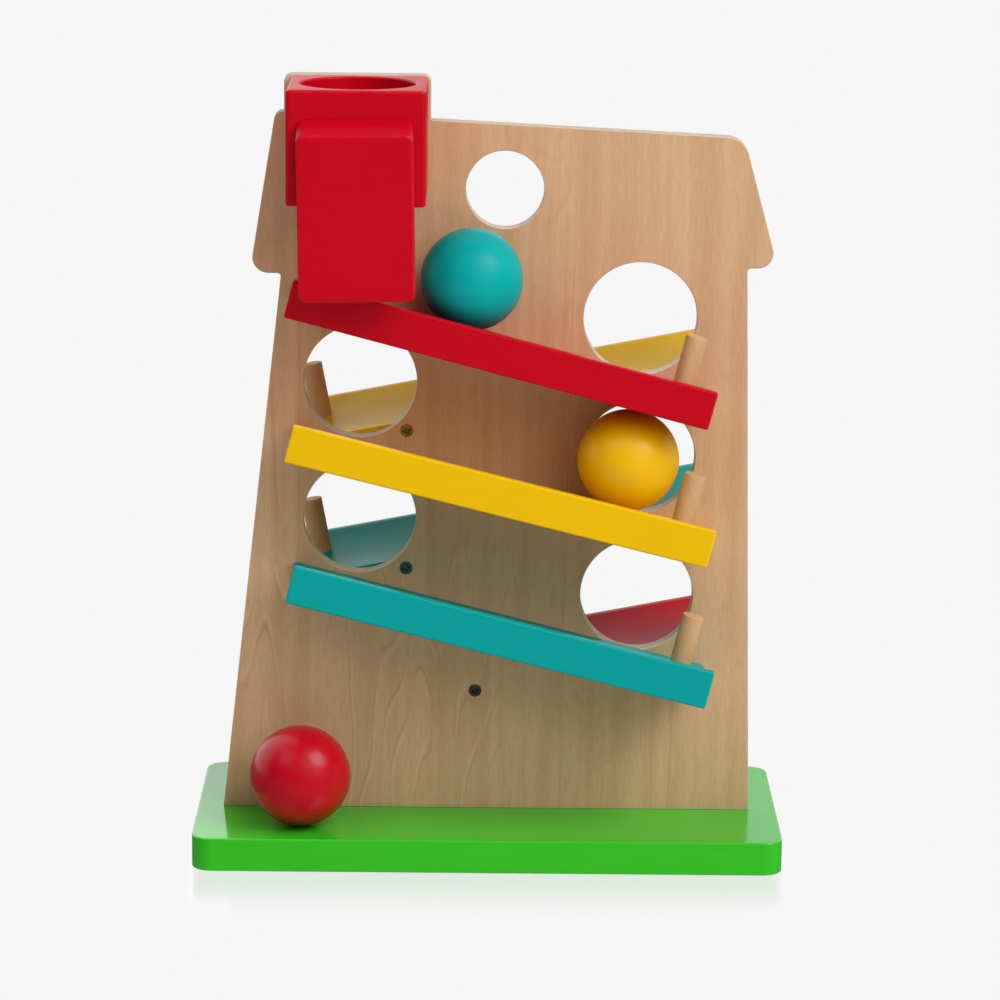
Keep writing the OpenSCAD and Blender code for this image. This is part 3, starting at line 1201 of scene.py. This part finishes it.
@dataclass
class Feed:
    """The block that a ball is dropped into, and the guard board in front of it.

    Attributes:
        workshop: What turns them into pieces.
        finishes: Every finish.
        block_corner: The radius of the block's corners.
        block_edge: The radius of its edges.
        bore: The radius of its bore.
        mouth: The radius of the bore's edges.
        guard_width: The guard's width.
        guard_height: Its height.
        guard_corner: The radius of its corners.
        guard_edge: The radius of its edges.
        guard_top_drop: How much lower the front of its slanted top end is.
        guard_lean: How far it leans to the side, in radians.
    """

    workshop: Workshop
    finishes: Finishes
    block_corner: float = 1.8 * MM
    block_edge: float = 1.4 * MM
    bore: float = 25 * MM
    mouth: float = 1 * MM
    guard_width: float = 50 * MM
    guard_height: float = 77.6 * MM
    guard_corner: float = 3.5 * MM
    guard_edge: float = 1.2 * MM
    guard_top_drop: float = 6 * MM
    guard_lean: float = math.radians(1)

    def build(self) -> None:
        """Builds the block, the guard and the pins between them."""
        self.build_block()
        self.build_guard()
        self.workshop.dress("guard_pins", self.finishes.dowel)

    def build_block(self) -> None:
        """Builds the bored block."""
        size, middle = size_and_middle("feed_block")
        outline = Loop(rectangle(size.x, size.y, self.block_corner), wall(size.z, self.block_edge))
        bore = Loop(circle(ORIGIN, self.bore, 128), wall(size.z, self.mouth), hole=True)
        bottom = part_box("feed_block")[0].z
        mesh = Board([outline, bore]).place(axes(X, Y, Z, Vector((middle.x, middle.y, bottom))))
        self.workshop.finish("feed_block", mesh, [self.finishes.red, self.finishes.red])

    def build_guard(self) -> None:
        """Builds the guard, with its slanted top end and its slight lean."""
        low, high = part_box("feed_guard")
        thickness, middle = high.y - low.y, (low + high) / 2
        outline = Loop(rectangle(self.guard_width, self.guard_height, self.guard_corner),
                       wall(thickness, self.guard_edge))
        board = Board([outline])
        for vert in board.mesh.verts:
            if vert.co.y > self.guard_height / 2 - self.guard_corner - MM:
                vert.co.y -= self.guard_top_drop * (1 - vert.co.z / thickness)
        lean = Matrix.Rotation(-self.guard_lean, 4, "Y")
        lift = Matrix.Translation((middle.x, low.y, middle.z))
        mesh = board.place(lift @ lean @ axes(X, Z, Y, Vector()))
        self.workshop.finish("feed_guard", mesh, [self.finishes.red, self.finishes.red])


@dataclass
class Ramp:
    """A grooved ramp and the peg at its lower end.

    Attributes:
        workshop: What turns them into pieces.
        finish: The ramp's finish.
        dowel: The peg's finish.
        node: The ramp's node.
        side: The side of the panel that it is on.
        peg: The peg's node, if it has one.
        height: The ramp's height.
        rail: The width of the rail outside of its groove.
        groove: The groove's depth at the panel.
        edge: The radius of its edges.
        peg_edge: The radius of the peg's edges.
    """

    workshop: Workshop
    finish: Finish
    dowel: Finish
    node: str
    side: Side
    peg: str | None = None
    height: float = 17 * MM
    rail: float = 4 * MM
    groove: float = 9.2 * MM
    edge: float = 0.9 * MM
    peg_edge: float = 0.5 * MM

    # How often the slope is worked out anew, and how close two points are that count as one, in metres.
    ROUNDS = 30
    SAME = 1e-9

    def slope_and_length(self) -> tuple[float, float]:
        """The ramp's slope and its length, worked out from its box and its height."""
        size, _ = size_and_middle(self.node)
        slope = 0.0
        for _ in range(self.ROUNDS):
            across, down = size.x - self.height * math.sin(slope), size.z - self.height * math.cos(slope)
            slope = math.atan2(down, across)
        return slope, math.hypot(across, down)

    def section(self, width: float) -> list[Vector]:
        """The ramp's section: x away from the panel, y up from the rail's top.

        Args:
            width: The ramp's width.

        Returns:
            The section's points, anticlockwise.
        """
        reach = width - self.rail
        radius = (reach ** 2 + self.groove ** 2) / (2 * self.groove)
        spread = math.asin(reach / radius)
        centre = Vector((0, radius - self.groove))
        e = self.edge
        corners = rounded([(width, 0, e), (reach, 0, 0), (0, -self.groove, 0), (0, -self.height, e),
                           (width, -self.height, e)], 5)
        hollow = arc(centre, radius, spread - math.pi / 2, -math.pi / 2, 36)
        rail_end = next(i for i, p in enumerate(corners) if (p - hollow[0]).length < self.SAME)
        return corners[:rail_end] + hollow + corners[rail_end + 2:]

    def build(self) -> None:
        """Builds the ramp, and its peg if it has one."""
        low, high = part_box(self.node)
        slope, length = self.slope_and_length()
        middle = (low + high) / 2
        turn = Matrix.Rotation(self.side.value, 3, "Z")
        down = turn @ Vector((math.cos(slope), 0, -math.sin(slope)))
        away = turn @ -Y
        up = turn @ Vector((math.sin(slope), 0, math.cos(slope)))
        panel_face = high.y if self.side is Side.FRONT else low.y
        top = Vector((middle.x, panel_face, middle.z)) + up * self.height / 2
        outline = Loop(self.section(high.y - low.y), wall(length, self.edge, 3))
        mesh = Board([outline]).place(axes(away, up, down, top - down * length / 2))
        self.workshop.finish(self.node, mesh, [self.finish, self.finish])
        if self.peg:
            self.build_peg(slope, up)

    def build_peg(self, slope: float, up: Vector) -> None:
        """Builds the dowel peg.

        Args:
            slope: The ramp's slope.
            up: The direction that the peg stands in.
        """
        size, middle = size_and_middle(self.peg)
        radius = size.y / 2
        length = (size.z - 2 * radius * math.sin(slope)) / math.cos(slope)
        side = Y.cross(up)
        outline = Loop(circle(ORIGIN, radius, 48), wall(length, self.peg_edge, 3))
        mesh = Board([outline]).place(axes(side, Y, up, middle - up * length / 2))
        self.workshop.finish(self.peg, mesh, [self.dowel, self.dowel])


@dataclass
class Ball:
    """A turned and lacquered wooden ball.

    Attributes:
        workshop: What turns it into a piece.
        finish: Its finish.
        node: Its node, which is also its body.
        tilt: How far its axis of turning is tilted, about X and then about Z.
        flat: The radius of the small flats at its ends.
        profile_steps: How many stretches its half outline has.
        spin_steps: How many stretches it has around.
        merge: How close two vertices are that become one.
    """

    workshop: Workshop
    finish: Finish
    node: str
    tilt: tuple[float, float]
    flat: float = 1.1 * MM
    profile_steps: int = 64
    spin_steps: int = 96
    merge: float = 0.01 * MM

    def build(self) -> None:
        """Spins the ball's half outline, which ends in the small flats where it was held for turning."""
        size, middle = size_and_middle(self.node)
        radius = size.z / 2
        mesh = bmesh.new()
        start = math.asin(self.flat / radius)
        steps = self.profile_steps
        turns = [start + (math.pi - 2 * start) * i / steps for i in range(steps + 1)]
        points = [Vector((0, 0, radius * math.cos(start)))]
        points += [radius * Vector((math.sin(a), 0, math.cos(a))) for a in turns]
        points.append(Vector((0, 0, -radius * math.cos(start))))
        verts = [mesh.verts.new(p) for p in points]
        edges = [mesh.edges.new(pair) for pair in zip(verts, verts[1:])]
        bmesh.ops.spin(mesh, geom=verts + edges, cent=(0, 0, 0), axis=(0, 0, 1), angle=2 * math.pi,
                       steps=self.spin_steps, use_merge=True)
        bmesh.ops.remove_doubles(mesh, verts=mesh.verts, dist=self.merge)
        bmesh.ops.recalc_face_normals(mesh, faces=mesh.faces)
        turn = Matrix.Rotation(self.tilt[1], 4, "Z") @ Matrix.Rotation(self.tilt[0], 4, "X")
        bmesh.ops.transform(mesh, matrix=Matrix.Translation(middle) @ turn, verts=mesh.verts)
        self.workshop.finish(self.node, mesh, [self.finish], body=self.node)


# -----------------------------------------------------------------------------
# Studio
# -----------------------------------------------------------------------------


@dataclass(frozen=True)
class Window:
    """A wide soft window in the surroundings.

    Attributes:
        direction: Where its middle is, seen from the object.
        strength: How bright it is there.
    """

    direction: Triple
    strength: float


@dataclass
class Studio:
    """The floor, the lights and the camera.

    Attributes:
        white: How bright the surroundings and the floor look to the camera.
        windows: The windows that light the object.
        window_edge: The cosine at which a window starts.
        window_core: The cosine at which it is at its brightest.
        dark: How bright the dark side of the surroundings is in a reflection, behind the camera.
        dark_turn: The Y of a direction at which they start to brighten, and at which they are white.
        left_gain: How much brighter they are on the left.
        left_turn: The X of a direction at which that starts to fade, and at which it has.
        floor_glow: How much light the floor throws back.
        floor_gloss: How bright it is in a reflection.
        floor_roughness: The roughness of its own reflection.
        mirror: How strong its own reflection is.
        mirror_near: The Y at which that is at its full strength.
        mirror_far: The Y at which it has faded.
        mirror_beside: How far to the side it starts to fade, and has faded.
        floor_size: Half the floor's width.
        key_power: The right lamp's power, in watts.
        fill_power: The left lamp's power.
        lamp_size: A lamp's width.
        lamp_distance: How far away a lamp is.
        aim: What the lamps point at.
        key_from: Where the right lamp is, seen from there.
        fill_from: Where the left lamp is.
        camera_place: Where the camera is.
        camera_pitch: How far it looks down, in radians.
        camera_yaw: How far it is turned to the right.
        camera_roll: How far it is rolled.
        lens: Its focal length, in millimetres.
        sensor: The width of its sensor, in millimetres.
    """

    white: float = 0.922
    windows: tuple[Window, ...] = (
        Window((0.507, -0.604, 0.616), 3.0),
        Window((-0.507, -0.604, 0.616), 0.55),
        Window((-0.527, 0.628, 0.574), 1.7),
    )
    window_edge: float = 0.8
    window_core: float = 0.97
    dark: float = 0.06
    dark_turn: tuple[float, float] = (-0.35, 0.3)
    left_gain: float = 1.8
    left_turn: tuple[float, float] = (-0.1, 0.02)
    floor_glow: float = 0.85
    floor_gloss: float = 0.12
    floor_roughness: float = 0.12
    mirror: float = 0.2
    mirror_near: float = -0.07
    mirror_far: float = -0.135
    mirror_beside: tuple[float, float] = (0.126, 0.1335)
    floor_size: float = 12.0
    key_power: float = 27.0
    fill_power: float = 5.5
    lamp_size: float = 1.25
    lamp_distance: float = 2.4
    aim: Triple = (0.0, -0.02, 0.18)
    key_from: Triple = (0.61, -0.38, 0.70)
    fill_from: Triple = (-0.48, -0.44, 0.76)
    camera_place: Triple = (-0.0056, -1.8769, 0.5533)
    camera_pitch: float = math.radians(11.956)
    camera_yaw: float = math.radians(0.309)
    camera_roll: float = 0.0102
    lens: float = 153.3
    sensor: float = 36.0

    def build(self) -> None:
        """Builds the studio."""
        self.build_world()
        self.build_floor()
        self.build_lamp("key_lamp", self.key_from, self.key_power)
        self.build_lamp("fill_lamp", self.fill_from, self.fill_power)
        self.build_camera()
        bpy.context.scene.view_settings.view_transform = "Standard"

    def build_world(self) -> None:
        """Makes the surroundings: white to look at, a few wide soft windows for the shading."""
        world = bpy.data.worlds.new("studio_world")
        bpy.context.scene.world = world
        world.use_nodes = True
        g = Graph(world.node_tree)
        rays = g.add("ShaderNodeLightPath").outputs
        around = g.add("ShaderNodeTexCoord").outputs["Generated"]
        at = g.split(around)
        behind = g.ramp(at["Y"], *self.dark_turn, self.dark, self.white)
        mirrored = g.times(behind, g.ramp(at["X"], *self.left_turn, self.left_gain, 1.0))
        shown = g.times(rays["Is Camera Ray"], self.white)
        seen = g.plus(shown, g.times(rays["Is Glossy Ray"], mirrored))
        either = g.plus(rays["Is Camera Ray"], rays["Is Glossy Ray"])
        soft: object = 0.0
        for window in self.windows:
            towards = g.add("ShaderNodeVectorMath", operation="DOT_PRODUCT")
            g.put(towards.inputs[0], around)
            towards.inputs[1].default_value = window.direction
            edge, core = self.window_edge, self.window_core
            soft = g.plus(soft, g.ramp(towards.outputs["Value"], edge, core, 0.0, window.strength))
        rest = g.times(g.math("SUBTRACT", 1.0, either), soft)
        background = world.node_tree.nodes["Background"].inputs
        g.put(background["Strength"], g.plus(seen, rest))
        background["Color"].default_value = WHITE

    def build_floor(self) -> None:
        """Makes a plain pale floor."""
        mesh = bmesh.new()
        bmesh.ops.create_grid(mesh, x_segments=1, y_segments=1, size=self.floor_size)
        data = stored("floor_shape", mesh)
        data.materials.append(self.floor_material())
        placed("floor", data)

    def floor_material(self) -> bpy.types.Material:
        """Builds the floor's material, a pale glow with a faint reflection of the base board.

        Returns:
            The material.
        """
        material = bpy.data.materials.new("floor_white")
        material.use_nodes = True
        g = Graph(material.node_tree)
        g.tree.nodes.clear()
        rays = g.add("ShaderNodeLightPath").outputs
        seen = g.times(rays["Is Camera Ray"], self.white)
        rest = g.times(rays["Is Diffuse Ray"], self.floor_glow)
        dim = g.times(rays["Is Glossy Ray"], self.floor_gloss)
        glow = g.add("ShaderNodeEmission")
        g.put(glow.inputs["Strength"], g.plus(g.plus(seen, rest), dim))
        gloss = g.add("ShaderNodeBsdfGlossy")
        gloss.inputs["Roughness"].default_value = self.floor_roughness
        gloss.inputs["Color"].default_value = WHITE
        at = g.split(g.add("ShaderNodeTexCoord").outputs["Object"])
        near = g.ramp(at["Y"], self.mirror_far, self.mirror_near, 0.0, self.mirror)
        beside = g.ramp(g.math("ABSOLUTE", at["X"]), *self.mirror_beside, 1.0, 0.0)
        ahead = g.math("LESS_THAN", at["Y"], 0.0)
        both = g.add("ShaderNodeMixShader")
        g.put(both.inputs[0], g.times(near, g.times(beside, ahead)))
        g.put(both.inputs[1], glow.outputs[0])
        g.put(both.inputs[2], gloss.outputs[0])
        g.put(g.add("ShaderNodeOutputMaterial").inputs["Surface"], both.outputs[0])
        return material

    def build_lamp(self, name: str, direction: Sequence[float], power: float) -> None:
        """Adds a soft square lamp.

        Args:
            name: The lamp's name.
            direction: Where it is, seen from the object.
            power: Its power, in watts.
        """
        lamp = bpy.data.lights.new(name, "AREA")
        lamp.size = self.lamp_size
        lamp.energy = power
        holder = placed(name, lamp)
        way = Vector(direction).normalized()
        holder.location = Vector(self.aim) + way * self.lamp_distance
        holder.rotation_euler = way.to_track_quat("Z", "Y").to_euler()

    def build_camera(self) -> None:
        """Adds the camera."""
        data = bpy.data.cameras.new("camera")
        data.lens = self.lens
        data.sensor_width = self.sensor
        camera = placed("camera", data)
        yaw = Matrix.Rotation(-self.camera_yaw, 4, "Z")
        turn = yaw @ Matrix.Rotation(math.pi / 2 - self.camera_pitch, 4, "X")
        roll = Matrix.Rotation(self.camera_roll, 4, "Z")
        camera.matrix_world = Matrix.Translation(self.camera_place) @ turn @ roll
        bpy.context.scene.camera = camera


def main() -> None:
    """Builds the marble run and its studio."""
    logging.basicConfig(level=logging.INFO, format="%(message)s")
    low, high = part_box("house_panel")
    finishes = Finishes(SharedGroups(), low.y, high.y - low.y)
    workshop = Workshop()
    BaseBoard(workshop, finishes).build()
    HousePanel(workshop, finishes).build()
    Feed(workshop, finishes).build()
    ramps = (
        ("front_ramp_red", finishes.red, Side.FRONT, "front_peg_red"),
        ("front_ramp_yellow", finishes.yellow, Side.FRONT, "front_peg_yellow"),
        ("front_ramp_teal", finishes.teal, Side.FRONT, "front_peg_teal"),
        ("rear_ramp_yellow", finishes.yellow, Side.REAR, "rear_peg_yellow"),
        ("rear_ramp_teal", finishes.teal, Side.REAR, "rear_peg_teal"),
        ("rear_ramp_red", finishes.red, Side.REAR, None),
    )
    for node, finish, side, peg in ramps:
        Ramp(workshop, finish, finishes.dowel, node, side, peg).build()
    Ball(workshop, finishes.teal_ball, "ball_teal", (1.2, 0.4)).build()
    Ball(workshop, finishes.yellow_ball, "ball_yellow", (0.6, 2.1)).build()
    Ball(workshop, finishes.red_ball, "ball_red", (1.9, 1.1)).build()
    Studio().build()


if __name__ == "__main__":
    main()
